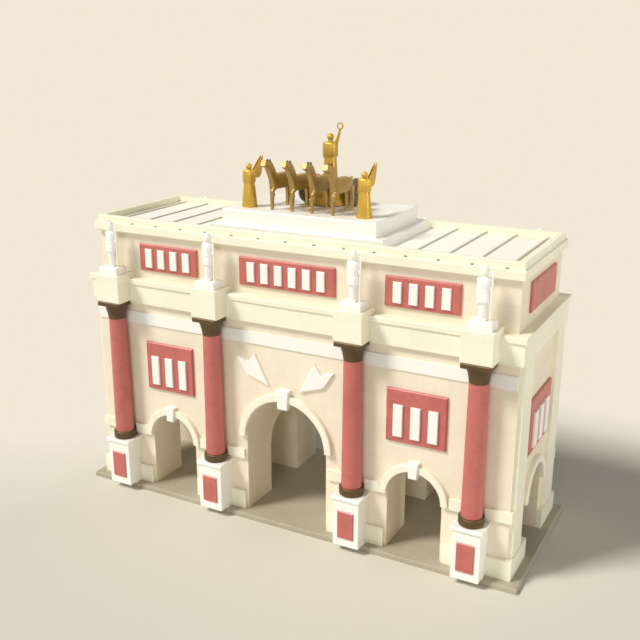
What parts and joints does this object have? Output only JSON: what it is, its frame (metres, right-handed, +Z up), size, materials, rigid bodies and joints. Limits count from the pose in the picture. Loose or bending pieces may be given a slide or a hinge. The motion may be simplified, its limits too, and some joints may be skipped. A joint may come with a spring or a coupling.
{
  "type": "triumphal arch",
  "caption": "Marble-clad triumphal arch: a tall middle opening between lower ones, a cross passage, free columns, a statue-lined attic and a chariot group on the roof.",
  "frame": {"origin": "middle of the footprint on the ground", "axes": "+X along the long walls, -Y out of the front, +Z up"},
  "size_m": [20.78, 8.32, 16.91],
  "materials": {
    "cream_marble": "honed, mottled cream marble in flush blocks",
    "pale_marble": "honed pale marble",
    "white_marble": "carved and rubbed white marble",
    "red_marble": "polished veined red marble",
    "step_stone": "worn tooled limestone",
    "roof_stone": "weathered roof slabs with rolled joints",
    "bronze": "cast bronze with a brown patina",
    "horse_bronze": "cast bronze, brown and half bright",
    "gilt_bronze": "cast bronze, gilded and satin",
    "dark_bronze": "cast bronze, dark"
  },
  "bodies": {
    "root": {"front_piers": "cream_marble", "back_piers": "cream_marble", "front_wall": "cream_marble", "back_wall": "cream_marble", "centre_vault": "cream_marble", "left_vault": "cream_marble", "right_vault": "cream_marble", "end_pilasters": "cream_marble", "attic_front_wall": "cream_marble", "attic_back_wall": "cream_marble", "attic_end_walls": "cream_marble", "podium": "cream_marble", "stylobate": "step_stone", "pedestal_feet": "step_stone", "socles": "cream_marble", "impost_bands": "white_marble", "keystones": "white_marble", "arch_rings": "cream_marble", "frieze_bands": "white_marble", "entablature": "cream_marble", "cornice": "pale_marble", "ressauts": "pale_marble", "pedestals": "white_marble", "pedestal_panels": "red_marble", "column_bases": "bronze", "column_shafts": "red_marble", "capitals": "bronze", "wall_panels": "red_marble", "wall_panel_bars": "white_marble", "winged_reliefs": "white_marble", "attic_panels": "red_marble", "attic_panel_bars": "white_marble", "attic_cornice": "pale_marble", "roof_deck": "roof_stone", "parapet": "pale_marble", "roof_ribs": "roof_stone", "statue_plinths": "white_marble", "statues": "white_marble", "horses": "horse_bronze", "chariot": "gilt_bronze", "chariot_wheels": "dark_bronze", "charioteer": "gilt_bronze", "wreath": "gilt_bronze", "victories": "gilt_bronze"}
  },
  "joints": []
}
